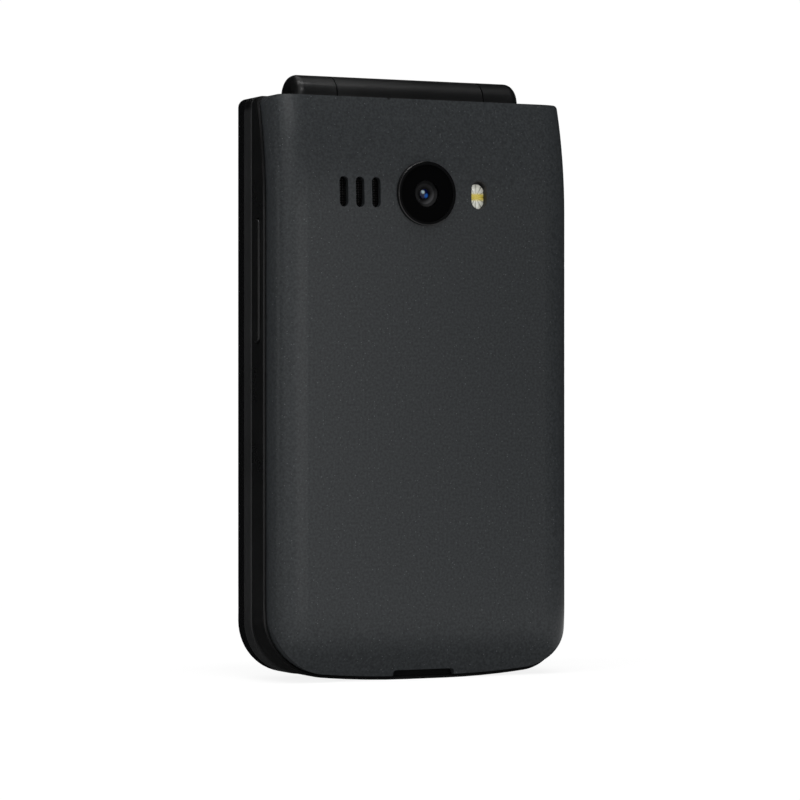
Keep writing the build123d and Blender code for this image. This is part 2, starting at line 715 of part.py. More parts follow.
def make_volume_key():
    wall_inside = phone_width / 2 - side_wall
    start = wall_inside - volume_swing
    key = volume_box(volume_width, volume_length, start, phone_width / 2 + volume_rise)
    face = key.faces().sort_by(Axis.X)[-1]
    key = fillet(face.edges(), volume_rounding)
    flange_length = volume_length + 2 * volume_flange_extra
    key += volume_box(volume_width, flange_length, start - volume_flange, start)
    nub_start = volume_depth - volume_width / 2
    key += peg(volume_nub, start - volume_flange, volume_height, nub_start, nub_start + volume_width)
    parts["volume_key"] = key
    pocket_wall = wall_inside - volume_pocket + pin_fit
    plane = Plane((pocket_wall, depth_y(volume_depth), volume_height), x_dir=(0, 1, 0), z_dir=(1, 0, 0))
    switches = extrude(plane * Rectangle(volume_width, volume_length), amount=switch_board)
    switch_reach = volume_length / 2 - switch_inset
    for side in (-1, 1):
        spot = plane * Pos(0, side * switch_reach)
        switches += extrude(spot * Circle(volume_width / 3), amount=switch_board + switch_button)
    parts["volume_switches"] = switches


def make_screws():
    screws = []
    for z in boss_heights:
        for side in (-1, 1):
            screws.append(screw(side * boss_x, z, ledge_depth, plate_back + key_play))
    parts["case_screws"] = Compound(children=screws)


def make_hinge():
    start = barrel_length / 2 - pin_reach
    parts["hinge_pin"] = rod_across(pin_radius, start, knuckle_start + pin_reach - fit)
    shaft = rod_across(pin_radius, -knuckle_start - pin_reach + fit, -start)
    parts["hinge_drive_shaft"] = shaft
    module_start = fit - barrel_length / 2
    module = rod_across(hinge_module_radius, module_start, module_start + hinge_module_length)
    module -= rod_across(pin_radius + pin_fit, -barrel_length / 2, -start + fit)
    parts["hinge_module"] = module


def make_cover():
    form = outline(cover_inset, 0, top_corner=cover_corner_radius)
    cover = slab(form, plate_back, total_depth) & rear_form(0)
    cover -= before_seam(fit - ledge_drop)
    inner_form = outline(cover_inset + cover_wall, cover_wall, top_corner=cover_corner_radius)
    cover -= slab(inner_form, plate_back, total_depth) & rear_form(cover_wall)
    relief_low = barrel_z - barrel_radius - barrel_clearance
    relief_height = half_height + beyond - relief_low
    barrel_back = barrel_depth + barrel_radius + barrel_clearance
    cover -= brick(2 * hinge_reach, relief_height, 0, relief_low + relief_height / 2, plate_back, barrel_back)
    for step in range(slot_count):
        x = speaker_x + (step - (slot_count - 1) / 2) * slot_pitch
        cover -= tall_slot(slot_width, slot_height, x, row_height, seam_depth, total_depth + beyond)
    cover -= peg(ring_stem + pin_fit, camera_x, row_height, seam_depth, total_depth + beyond)
    cover -= tall_slot(flash_width, flash_height, flash_x, row_height, seam_depth, total_depth + beyond)
    pry = 2 * (cover_inset + pry_height)
    cover -= tile(pry_width, pry, pry_height / 2, pry_x, 0, seam_depth, total_depth)
    cover -= brick(notch_width, 2 * notch_height, notch_x, half_height, barrel_back, total_depth)
    for side in (-1, 1):
        for z in tongue_heights:
            cover += tongue(side, z)
    parts["battery_cover"] = cover
    ring_top = total_depth + ring_rise
    ring = peg(ring_radius, camera_x, row_height, total_depth - cover_wall, ring_top)
    ring -= rear_form(0)
    top_edges = ring.edges().filter_by(GeomType.CIRCLE).sort_by(Axis.Y)[-1:]
    ring = fillet(top_edges, edge_ease)
    ring += peg(ring_stem, camera_x, row_height, total_depth - cover_wall, total_depth)
    seat_depth = ring_top - window_drop - window_thickness
    ring -= peg(ring_bore, camera_x, row_height, seat_depth, ring_top)
    ring -= peg(ring_seat, camera_x, row_height, seam_depth, ring_top)
    parts["camera_ring"] = ring
    window = peg(ring_bore - pin_fit, camera_x, row_height, seat_depth, ring_top - window_drop)
    parts["camera_window"] = window
    lens_face = total_depth - flash_drop
    lens = tall_slot(flash_width - 2 * pin_fit, flash_height - 2 * pin_fit, flash_x, row_height,
                     lens_face - flash_thickness, lens_face)
    parts["flash_lens"] = lens
    band = rear_form(cover_wall) - rear_form(cover_wall + mesh_thickness)
    mesh_width = slot_count * slot_pitch + slot_width
    mesh_height = slot_height + slot_width
    patch = tile(mesh_width, mesh_height, inner_rounding, speaker_x, row_height, seam_depth, total_depth)
    parts["speaker_mesh"] = band & patch


def knuckle_room(shell):
    """Clears a lid shell around the two knuckles of the base."""
    for side in (-1, 1):
        start = side * (barrel_length / 2)
        end = side * hinge_reach
        shell -= rod_across(barrel_radius + barrel_clearance, *sorted((start, end)))
    return shell


def make_lid_shells():
    outer = slab(lid_outline(), 0, lid_split)
    outer = fillet(edges_at_depth(outer, 0), lid_edge_radius)
    outer -= slab(lid_outline(lid_side_wall, hinge_deck), lid_wall, lid_split)
    window_x = outer_window_width + 2 * glass_gap
    window_z = outer_window_height + 2 * glass_gap
    outer -= tile(window_x, window_z, key_rounding, 0, outer_window_z, 0, glass_recess)
    view_x = window_x - 2 * view_margin
    view_z = window_z - 2 * view_margin
    outer -= tile(view_x, view_z, inner_rounding, 0, outer_window_z, 0, lid_wall)
    for x, z in lid_screw_spots:
        boss = peg(boss_radius, x, z, lid_wall, lid_depth - lid_wall - fit)
        outer += boss - peg(screw_radius + pin_fit / 2, x, z, lid_wall, lid_depth)
    outer = knuckle_room(outer)
    outer -= rod_across(barrel_radius + fit, -barrel_length / 2, barrel_length / 2)
    parts["lid_outer_shell"] = outer

    inner = slab(lid_outline(), lid_split, lid_depth)
    inner = fillet(edges_at_depth(inner, lid_depth), edge_ease)
    inner -= slab(lid_outline(lid_side_wall, hinge_deck), lid_split, lid_depth - lid_wall)
    window_x = main_window_width + 2 * glass_gap
    window_z = main_window_height + 2 * glass_gap
    inner -= tile(window_x, window_z, key_rounding, 0, main_window_z, lid_depth - glass_recess, lid_depth)
    view_x = window_x - 2 * view_margin
    view_z = window_z - 2 * view_margin
    inner -= tile(view_x, view_z, inner_rounding, 0, main_window_z, lid_split, lid_depth)
    inner -= slab(Pos(0, earpiece_z) * SlotOverall(earpiece_slot, earpiece_slot_height), lid_split, lid_depth)
    for x, z in bumper_spots:
        inner -= peg(bumper_radius + fit, x, z, lid_depth - bumper_recess, lid_depth)
    for x, z in lid_screw_spots:
        inner -= peg(screw_radius + fit, x, z, lid_split, lid_depth)
        inner -= peg(screw_head_radius + fit, x, z, lid_depth - screw_head_depth - fit, lid_depth)
    inner = knuckle_room(inner)
    inner += rod_across(barrel_radius, -barrel_length / 2, barrel_length / 2)
    barrel_end = barrel_length / 2
    inner -= rod_across(hinge_module_radius + pin_fit, -barrel_end, 2 * fit - barrel_end + hinge_module_length)
    inner -= rod_across(pin_radius + pin_fit, barrel_end - pin_reach - fit, barrel_end)
    parts["lid_inner_shell"] = inner


def make_lid_parts():
    parts["outer_window"] = tile(outer_window_width, outer_window_height, key_rounding, 0, outer_window_z,
                                 glass_recess - glass_thickness, glass_recess)
    panel_width = outer_window_width - 2 * panel_margin
    panel_height = outer_window_height - 2 * panel_margin
    panel_back = lid_wall + outer_panel_depth
    parts["outer_display"] = tile(panel_width, panel_height, panel_rounding, 0, outer_window_z,
                                  lid_wall, panel_back)
    main_front = lid_depth - glass_recess
    parts["main_window"] = tile(main_window_width, main_window_height, key_rounding, 0, main_window_z,
                                main_front, main_front + glass_thickness)
    panel_back = lid_depth - lid_wall
    panel_width = main_window_width - 2 * panel_margin
    panel_height = main_window_height - 2 * panel_margin
    parts["main_display"] = tile(panel_width, panel_height, panel_rounding, 0, main_window_z,
                                 panel_back - main_panel_depth, panel_back)
    chassis_back = chassis_depth + chassis_thickness
    chassis = slab(lid_outline(lid_side_wall + 2 * fit, hinge_deck + 2 * fit), chassis_depth, chassis_back)
    for x, z in lid_screw_spots:
        chassis -= peg(boss_radius + 2 * fit, x, z, chassis_depth, chassis_back)
    parts["lid_chassis"] = chassis
    board_back_depth = lid_wall + board_thickness
    parts["lid_board"] = tile(lid_board_width, lid_board_height, inner_rounding, 0, lid_board_z,
                              lid_wall, board_back_depth)
    parts["earpiece"] = tile(earpiece_width, earpiece_height, inner_rounding, 0, earpiece_z,
                             chassis_back, panel_back)
    bumpers = []
    for x, z in bumper_spots:
        bumpers.append(peg(bumper_radius, x, z, lid_depth - bumper_recess, lid_depth + bumper_rise))
    parts["lid_bumpers"] = Compound(children=bumpers)
    screws = []
    for x, z in lid_screw_spots:
        screws.append(screw(x, z, lid_depth - fit, 2 * lid_wall))
    parts["lid_screws"] = Compound(children=screws)


make_keys()
make_front_case()
make_rear_frame()
make_boards()
make_battery()
make_upper_parts()
make_lower_parts()
make_volume_key()
make_screws()
make_hinge()
make_cover()
make_lid_shells()
make_lid_parts()

os.makedirs("parts", exist_ok=True)
for name, shape in parts.items():
    export_step(shape, f"parts/{name}.step")
    print(name, round(shape.volume, 2))
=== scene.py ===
import json
import math

import bmesh
import bpy
from mathutils import Matrix, Vector


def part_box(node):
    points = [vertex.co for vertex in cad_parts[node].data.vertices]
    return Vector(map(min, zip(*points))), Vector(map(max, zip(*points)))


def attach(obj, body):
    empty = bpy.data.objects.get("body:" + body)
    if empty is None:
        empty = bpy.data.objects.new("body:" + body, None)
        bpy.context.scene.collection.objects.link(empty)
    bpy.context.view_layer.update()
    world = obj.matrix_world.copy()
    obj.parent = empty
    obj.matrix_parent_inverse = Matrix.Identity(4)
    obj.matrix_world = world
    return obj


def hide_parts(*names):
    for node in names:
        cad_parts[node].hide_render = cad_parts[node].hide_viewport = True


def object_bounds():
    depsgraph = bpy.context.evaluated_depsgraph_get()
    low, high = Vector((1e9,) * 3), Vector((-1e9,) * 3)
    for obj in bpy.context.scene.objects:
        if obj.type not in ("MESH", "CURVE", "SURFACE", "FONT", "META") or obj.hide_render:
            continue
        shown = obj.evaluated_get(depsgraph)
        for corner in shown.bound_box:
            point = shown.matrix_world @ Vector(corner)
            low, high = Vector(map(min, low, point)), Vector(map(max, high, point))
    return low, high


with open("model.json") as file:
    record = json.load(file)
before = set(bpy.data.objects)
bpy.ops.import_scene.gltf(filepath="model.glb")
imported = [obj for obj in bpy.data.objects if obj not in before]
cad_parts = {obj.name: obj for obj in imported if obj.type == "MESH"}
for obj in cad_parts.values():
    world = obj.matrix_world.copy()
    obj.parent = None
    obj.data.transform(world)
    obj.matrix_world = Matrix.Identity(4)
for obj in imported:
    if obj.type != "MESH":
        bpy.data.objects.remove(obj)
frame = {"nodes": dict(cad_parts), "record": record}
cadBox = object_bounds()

# A clamshell phone, closed and standing on its bottom end. X runs across it, Y from the lid to the battery
# cover, Z up to the hinge, all in metres.
mm = 0.001
scene = bpy.context.scene


def added(tree, kind, values=None, **settings):  # a node whose inputs are set or linked to these values
    node = tree.nodes.new(kind)
    for name, setting in settings.items():
        setattr(node, name, setting)
    for name, value in (values or {}).items():
        if isinstance(value, bpy.types.NodeSocket):
            tree.links.new(value, node.inputs[name])
        else:
            node.inputs[name].default_value = value
    return node


def startFinish(name, colour, roughness, specular=0.5, metallic=0.0):
    material = bpy.data.materials.new(name)
    material.use_nodes = True
    tree = material.node_tree
    shader = tree.nodes["Principled BSDF"]
    shader.inputs["Base Color"].default_value = (*colour, 1)
    shader.inputs["Roughness"].default_value = roughness
    shader.inputs["Metallic"].default_value = metallic
    shader.inputs["Specular IOR Level"].default_value = specular
    return material, tree, shader


def objectPoint(tree, centre=(0, 0, 0), stretch=(1, 1, 1)):
    coordinates = added(tree, "ShaderNodeTexCoord")
    mapping = added(tree, "ShaderNodeMapping", {  # of kind TEXTURE, so that the pattern starts at centre
        "Vector": coordinates.outputs["Object"], "Location": centre, "Scale": stretch}, vector_type="TEXTURE")
    return mapping.outputs["Vector"]


def noiseOn(tree, point, size, detail=2.0):
    values = {"Vector": point, "Scale": 1 / size, "Detail": detail}
    return added(tree, "ShaderNodeTexNoise", values).outputs["Fac"]


def computed(tree, operation, *values):
    return added(tree, "ShaderNodeMath", dict(enumerate(values)), operation=operation).outputs[0]


def stretched(tree, value, low, high, newLow, newHigh):
    values = {"Value": value, "From Min": low, "From Max": high, "To Min": newLow, "To Max": newHigh}
    return added(tree, "ShaderNodeMapRange", values).outputs["Result"]


def blended(tree, factor, first, second):
    first, second = ((*value, 1) if isinstance(value, tuple) else value for value in (first, second))
    values = {"Factor": factor, 6: first, 7: second}  # the two colours have no names of their own
    return added(tree, "ShaderNodeMix", values, data_type="RGBA").outputs[2]


def axesOf(tree, point):
    return added(tree, "ShaderNodeSeparateXYZ", {"Vector": point}).outputs


def vectorOf(tree, **parts):
    return added(tree, "ShaderNodeCombineXYZ", parts).outputs["Vector"]


def lengthOf(tree, vector):
    return added(tree, "ShaderNodeVectorMath", {0: vector}, operation="LENGTH").outputs["Value"]


def besideY(tree, axes):  # distance from the line along Y through the point's origin
    return lengthOf(tree, vectorOf(tree, X=axes["X"], Z=axes["Z"]))


def bumpy(tree, shader, height, distance, strength):
    bump = added(tree, "ShaderNodeBump", {"Height": height, "Distance": distance, "Strength": strength})
    tree.links.new(bump.outputs["Normal"], shader.inputs["Normal"])


paintLook = {
    "colour": (0.0375, 0.0412, 0.0440),
    "shade": (0.0235, 0.0260, 0.0280),
    "cloudSize": 0.45 * mm,  # of the mottling between colour and shade
    "cloudSpan": (0.35, 0.65),
    "cloudDetail": 3.0,
    "flake": (0.150, 0.158, 0.165),
    "flakeSize": 0.38 * mm,
    "flakeShare": 0.14,
    "flakeEdge": (0.30, 0.05),
    "flakePolish": 0.08,
    "roughness": 0.34,
    "specular": 0.22,
    "grain": 0.25 * mm,
    "relief": 0.002 * mm,
    "strength": 0.4,
}


def paintFinish(name, look):  # matte coat over fine metal flakes
    material, tree, shader = startFinish(name, look["colour"], look["roughness"], look["specular"])
    point = objectPoint(tree)
    cells = added(tree, "ShaderNodeTexVoronoi", {"Vector": point, "Scale": 1 / look["flakeSize"]})
    chance = added(tree, "ShaderNodeSeparateColor", {"Color": cells.outputs["Color"]})
    picked = stretched(tree, chance.outputs["Red"], 1 - look["flakeShare"], 1.0, 0.0, 1.0)
    near = stretched(tree, cells.outputs["Distance"], *look["flakeEdge"], 0.0, 1.0)
    flake = computed(tree, "MULTIPLY", picked, near)
    cloud = noiseOn(tree, point, look["cloudSize"], look["cloudDetail"])
    cloud = stretched(tree, cloud, *look["cloudSpan"], 0.0, 1.0)
    base = blended(tree, cloud, look["shade"], look["colour"])
    tree.links.new(blended(tree, flake, base, look["flake"]), shader.inputs["Base Color"])
    rough = stretched(tree, flake, 0.0, 1.0, look["roughness"], look["roughness"] - look["flakePolish"])
    tree.links.new(rough, shader.inputs["Roughness"])
    bumpy(tree, shader, noiseOn(tree, point, look["grain"]), look["relief"], look["strength"])
    return material


wearLook = {  # shared by all moulded plastic
    "size": 9 * mm,
    "detail": 4.0,
    "tintSpan": (0.30, 0.75),
    "tint": 1.35,
    "lift": 0.001,
    "roughSpan": (0.30, 0.70),
    "smoother": 0.04,
    "rougher": 0.05,
    "grainDetail": 3.0,
    "strength": 0.6,
}


def plasticFinish(name, look):  # moulded plastic with a fine spark-eroded grain and faint wear
    material, tree, shader = startFinish(name, look["colour"], look["roughness"], look["specular"])
    point = objectPoint(tree)
    worn = noiseOn(tree, point, wearLook["size"], wearLook["detail"])
    lighter = tuple(min(1.0, c * wearLook["tint"] + wearLook["lift"]) for c in look["colour"])
    rubbed = stretched(tree, worn, *wearLook["tintSpan"], 0.0, 1.0)
    tree.links.new(blended(tree, rubbed, look["colour"], lighter), shader.inputs["Base Color"])
    rough = stretched(tree, worn, *wearLook["roughSpan"], look["roughness"] - wearLook["smoother"],
                      look["roughness"] + wearLook["rougher"])
    tree.links.new(rough, shader.inputs["Roughness"])
    grain = noiseOn(tree, point, look["grain"], wearLook["grainDetail"])
    bumpy(tree, shader, grain, look["relief"], wearLook["strength"])
    return material


lacquerLook = {  # shared by all polished lacquer
    "smear": 14 * mm,
    "smearDetail": 5.0,
    "smearSpan": (0.35, 0.70),
    "rougher": 0.07,
    "tint": 1.5,
    "wave": 5 * mm,
    "waveDetail": 1.0,
    "relief": 0.012 * mm,
    "strength": 0.35,
}


def glossFinish(name, look):  # polished lacquer, with the slight unevenness of a moulded face
    material, tree, shader = startFinish(name, look["colour"], look["roughness"], look["specular"])
    point = objectPoint(tree)
    smear = noiseOn(tree, point, lacquerLook["smear"], lacquerLook["smearDetail"])
    rough = stretched(tree, smear, *lacquerLook["smearSpan"], look["roughness"],
                      look["roughness"] + lacquerLook["rougher"])
    tree.links.new(rough, shader.inputs["Roughness"])
    tint = tuple(c * lacquerLook["tint"] for c in look["colour"])
    tree.links.new(blended(tree, smear, look["colour"], tint), shader.inputs["Base Color"])
    wave = noiseOn(tree, point, lacquerLook["wave"], lacquerLook["waveDetail"])
    bumpy(tree, shader, wave, lacquerLook["relief"], lacquerLook["strength"])
    return material


brushLook = {  # shared by all brushed metal
    "stroke": 0.08 * mm,
    "strokeSpan": (0.30, 0.70),
    "smoother": 0.08,
    "rougher": 0.10,
    "stain": 3 * mm,
    "detail": 3.0,
    "shade": 0.72,
    "relief": 0.003 * mm,
    "strength": 0.5,
}


def metalFinish(name, look):  # brushed along one direction
    material, tree, shader = startFinish(name, look["colour"], look["roughness"], metallic=1.0)
    along = objectPoint(tree, stretch=look["grain"])
    strokes = noiseOn(tree, along, brushLook["stroke"], brushLook["detail"])
    stains = noiseOn(tree, objectPoint(tree), brushLook["stain"], brushLook["detail"])
    darker = tuple(c * brushLook["shade"] for c in look["colour"])
    tree.links.new(blended(tree, stains, darker, look["colour"]), shader.inputs["Base Color"])
    rough = stretched(tree, strokes, *brushLook["strokeSpan"], look["roughness"] - brushLook["smoother"],
                      look["roughness"] + brushLook["rougher"])
    tree.links.new(rough, shader.inputs["Roughness"])
    bumpy(tree, shader, strokes, brushLook["relief"], brushLook["strength"])
    return material


paneLook = {  # shared by all windows
    "roughness": 0.04,
    "roundBlur": 0.2 * mm,  # how softly the print ends
    "straightBlur": 0.1 * mm,
    "smear": 11 * mm,
    "smearDetail": 4.0,
    "smearSpan": (0.40, 0.75),
    "smearRoughness": (0.03, 0.07),
}


def glassFinish(name, look):  # coated cover glass, printed dark from behind outside its clear area
    material, tree, shader = startFinish(name, look["print"], paneLook["roughness"], look["mirror"])
    axes = axesOf(tree, objectPoint(tree, look["centre"]))
    if "radius" in look:
        edge = look["radius"]
        inside = stretched(tree, besideY(tree, axes), edge, edge - paneLook["roundBlur"], 0.0, 1.0)
    else:
        shares = []
        for axis, edge in zip("XZ", look["half"]):
            away = computed(tree, "ABSOLUTE", axes[axis])
            shares.append(stretched(tree, away, edge, edge - paneLook["straightBlur"], 0.0, 1.0))
        inside = computed(tree, "MULTIPLY", *shares)
    tree.links.new(stretched(tree, inside, 0.0, 1.0, 1.0, look["veil"]), shader.inputs["Alpha"])
    smear = noiseOn(tree, objectPoint(tree), paneLook["smear"], paneLook["smearDetail"])
    rough = stretched(tree, smear, *paneLook["smearSpan"], *paneLook["smearRoughness"])
    tree.links.new(rough, shader.inputs["Roughness"])
    return material


def boardFinish(name, look):  # solder mask with copper tracks showing through
    material, tree, shader = startFinish(name, look["mask"], look["roughness"])
    point = objectPoint(tree, stretch=(look["pitch"],) * 3)
    upright = added(tree, "ShaderNodeMapping", {"Vector": point, "Rotation": (math.pi / 2, 0, 0)})
    tracks = added(tree, "ShaderNodeTexBrick", {
        "Vector": upright.outputs["Vector"], "Scale": 1.0, "Mortar Size": look["gap"]}).outputs["Fac"]
    tree.links.new(blended(tree, tracks, look["mask"], look["track"]), shader.inputs["Base Color"])
    bumpy(tree, shader, tracks, look["relief"], look["strength"])
    return material


def panelFinish(name, look):  # switched-off display: dark cells with a faint grid
    material, tree, shader = startFinish(name, look["colour"], look["roughness"], look["specular"])
    point = objectPoint(tree, (0, look["layer"] / 2, 0), (look["pixel"], look["layer"], look["pixel"]))
    grid = added(tree, "ShaderNodeTexChecker", {
        "Vector": point, "Scale": 1.0, "Color1": (*look["colour"], 1), "Color2": (*look["line"], 1)})
    tree.links.new(grid.outputs["Color"], shader.inputs["Base Color"])
    return material


finishLooks = {
    "gloss_black": (glossFinish, {
        "colour": (0.0035, 0.0036, 0.0038), "roughness": 0.06, "specular": 0.08}),
    "satin_black": (plasticFinish, {
        "colour": (0.0056, 0.0058, 0.0060), "roughness": 0.30, "specular": 0.26,
        "grain": 0.10 * mm, "relief": 0.006 * mm}),
    "satin_grey": (plasticFinish, {
        "colour": (0.018, 0.0185, 0.019), "roughness": 0.32, "specular": 0.28,
        "grain": 0.10 * mm, "relief": 0.006 * mm}),
    "carrier_plastic": (plasticFinish, {
        "colour": (0.014, 0.014, 0.015), "roughness": 0.55, "specular": 0.35,
        "grain": 0.18 * mm, "relief": 0.012 * mm}),
    "key_plastic": (plasticFinish, {
        "colour": (0.017, 0.0175, 0.018), "roughness": 0.34, "specular": 0.45,
        "grain": 0.10 * mm, "relief": 0.004 * mm}),
    "key_rubber": (plasticFinish, {
        "colour": (0.018, 0.018, 0.018), "roughness": 0.72, "specular": 0.25,
        "grain": 0.14 * mm, "relief": 0.010 * mm}),
    "battery_wrap": (plasticFinish, {
        "colour": (0.030, 0.031, 0.034), "roughness": 0.30, "specular": 0.5,
        "grain": 0.60 * mm, "relief": 0.010 * mm}),
    "dark_mesh": (plasticFinish, {
        "colour": (0.0015, 0.0015, 0.0015), "roughness": 0.60, "specular": 0.03,
        "grain": 0.10 * mm, "relief": 0.010 * mm}),
    "key_metal": (metalFinish, {"colour": (0.16, 0.162, 0.168), "roughness": 0.36, "grain": (1, 1, 14)}),
    "spring_steel": (metalFinish, {"colour": (0.60, 0.60, 0.58), "roughness": 0.25, "grain": (8, 1, 1)}),
    "can_steel": (metalFinish, {"colour": (0.50, 0.50, 0.50), "roughness": 0.32, "grain": (12, 1, 1)}),
    "screw_steel": (metalFinish, {"colour": (0.26, 0.26, 0.27), "roughness": 0.30, "grain": (1, 12, 1)}),
    "gold_contact": (metalFinish, {"colour": (0.83, 0.60, 0.24), "roughness": 0.24, "grain": (1, 1, 8)}),
    "board_green": (boardFinish, {
        "mask": (0.012, 0.085, 0.036), "track": (0.045, 0.17, 0.07), "roughness": 0.35,
        "pitch": 1.6 * mm, "gap": 0.06, "relief": 0.03 * mm, "strength": 0.5}),
    "display_panel": (panelFinish, {
        "colour": (0.006, 0.006, 0.008), "line": (0.0065, 0.0066, 0.0087), "roughness": 0.18,
        "specular": 0.14, "pixel": 0.12 * mm, "layer": 1.0}),
    "cover_paint": (paintFinish, paintLook),
}
finishes = {name: make(name, look) for name, (make, look) in finishLooks.items()}


def middleOf(node):
    low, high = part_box(node)
    return (low + high) / 2


def windowHalf(node, margin):
    low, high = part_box(node)
    return ((high.x - low.x) / 2 - margin, (high.z - low.z) / 2 - margin)


cameraCentre = middleOf("camera_ring")
flashCentre = middleOf("flash_lens")
printMargin = 2.6 * mm  # width of the dark print around a display
printColour = (0.003, 0.003, 0.0032)
glassLooks = {  # veil is how much the clear part still covers, mirror how strongly the pane reflects
    "camera_window": {"centre": tuple(cameraCentre), "radius": 2.55 * mm, "veil": 0.10, "mirror": 0.03,
                      "print": (0.002, 0.002, 0.0022)},
    "outer_window": {"centre": tuple(middleOf("outer_window")), "veil": 0.06, "mirror": 0.12,
                     "half": windowHalf("outer_window", printMargin), "print": printColour},
    "main_window": {"centre": tuple(middleOf("main_window")), "veil": 0.06, "mirror": 0.16,
                    "half": windowHalf("main_window", printMargin), "print": printColour},
}
barrelLook = {"span": (104.6 * mm, 105.2 * mm), "colour": (0.0056, 0.0058, 0.0060)}


def barrelFinish():  # grey shell whose hinge barrel is black like the knuckles beside it
    material = finishes["satin_grey"].copy()
    material.name = "shellWithBarrel"
    tree = material.node_tree
    shader = tree.nodes["Principled BSDF"]
    upper = stretched(tree, axesOf(tree, objectPoint(tree))["Z"], *barrelLook["span"], 0.0, 1.0)
    colour = shader.inputs["Base Color"].links[0].from_socket
    tree.links.new(blended(tree, upper, colour, barrelLook["colour"]), shader.inputs["Base Color"])
    return material


print("finishes are ready")


lensLook = {
    "deep": (0.001, 0.005, 0.050),
    "roughness": 0.04,
    "specular": 0.40,
    "core": 1 / 3,  # share of each painted glint that has its full colour
    "spots": (  # painted glint and painted highlight, standing in for light on the lens: offset in X and Z, radius, colour
        ((0.34 * mm, 0.34 * mm), 0.42 * mm, (0.70, 0.92, 1.0)),
        ((-0.34 * mm, -0.36 * mm), 0.52 * mm, (0.03, 0.20, 0.85)),
    ),
}


def lensFinish():  # coated front element, deep blue, with a painted pale cyan glint and a painted lighter blue highlight on opposite sides
    colour = lensLook["deep"]
    material, tree, shader = startFinish(
        "lensCoating", colour, lensLook["roughness"], lensLook["specular"])
    # each painted glint or highlight is blended into the base colour
    for (x, z), radius, spot in lensLook["spots"]:
        centre = middleOf("camera_lens") + Vector((x, 0, z))
        away = besideY(tree, axesOf(tree, objectPoint(tree, tuple(centre))))
        near = stretched(tree, away, radius, radius * lensLook["core"], 0.0, 1.0)
        colour = blended(tree, near, colour, spot)
    tree.links.new(colour, shader.inputs["Base Color"])
    return material


moduleLook = {
    "colour": (0.004, 0.004, 0.004),
    "roughness": 0.45,
    "specular": 0.05,
    "reach": 2.6 * mm,  # radius that the rings below are counted in
    "rings": ((0.0, 0.001), (0.36, 0.001), (0.42, 0.006), (0.56, 0.022), (0.68, 0.030), (0.76, 0.010),
              (0.94, 0.010), (1.0, 0.002)),
    "blue": 1.04,
    "paintedSheen": 2.6,  # painted sheen: how much lighter the rings are painted low on the far side
    "paintedSheenSpan": (-1.0 * mm, -2.2 * mm),
}


def moduleFinish():  # black camera housing with grey rings around the lens, with a painted sheen that lightens the rings low on the far side
    look = moduleLook
    material, tree, shader = startFinish(
        "cameraHousing", look["colour"], look["roughness"], look["specular"])
    axes = axesOf(tree, objectPoint(tree, tuple(cameraCentre)))
    share = stretched(tree, besideY(tree, axes), 0.0, look["reach"], 0.0, 1.0)
    rings = added(tree, "ShaderNodeValToRGB", {"Fac": share})
    ramp = rings.color_ramp
    for place, shade in look["rings"][1:-1]:
        ramp.elements.new(place)
    for element, (place, shade) in zip(ramp.elements, look["rings"]):
        element.position = place
        element.color = (shade, shade, shade * look["blue"], 1)
    # painted sheen: the rings' colour is scaled up towards the lower far side, where light would catch them
    lower = computed(tree, "ADD", axes["X"], axes["Z"])
    paintedSheen = stretched(tree, lower, *look["paintedSheenSpan"], 1.0, 1.0 + look["paintedSheen"])
    lighter = added(tree, "ShaderNodeVectorMath", {
        0: rings.outputs["Color"], "Scale": paintedSheen}, operation="SCALE")
    tree.links.new(lighter.outputs["Vector"], shader.inputs["Base Color"])
    return material


ringLook = {
    "rim": 5.7 * mm,  # from here outwards the ring is rounded
    "blur": 0.05 * mm,
    "face": 0.08,  # how strongly its face mirrors, and its rim
    "edge": 0.30,
}


def ringFinish():  # black lacquer, more polished on the rounded rim
    material = finishes["gloss_black"].copy()
    material.name = "ringLacquer"
    tree = material.node_tree
    away = besideY(tree, axesOf(tree, objectPoint(tree, tuple(cameraCentre))))
    rim = ringLook["rim"]
    polish = stretched(tree, away, rim, rim + ringLook["blur"], ringLook["face"], ringLook["edge"])
    tree.links.new(polish, tree.nodes["Principled BSDF"].inputs["Specular IOR Level"])
    return material


facetLook = {
    "sectors": 12,
    "sectorSteps": 8,
    "cut": 0.10 * mm,  # depth of the grooves between the sectors
    "sink": 0.45 * mm,  # how much deeper the lens sits than its plain stand-in
    "above": 0.55 * mm,  # dark strip left free above it
    "liner": 0.10 * mm,  # wall of the black liner around it
    "linerSink": 0.10 * mm,  # how far the liner stays below the cover's face
    "clearance": 0.04 * mm,
    "floor": 0.05 * mm,
}
flashLook = {
    "colour": (0.86, 0.86, 0.80),
    "roughness": 0.16,
    "coat": 0.4,
    "coatRoughness": 0.05,
    "emitter": (0.85 * mm, 0.40 * mm),  # where the yellow fades in, above and below the middle
    "grooveShade": 0.45,
    "white": ((0.30, 0.30, 0.24), (0.97, 0.97, 0.86)),  # with painted shade in the grooves, and between them
    "amber": ((0.60, 0.42, 0.05), (0.98, 0.80, 0.16)),
}


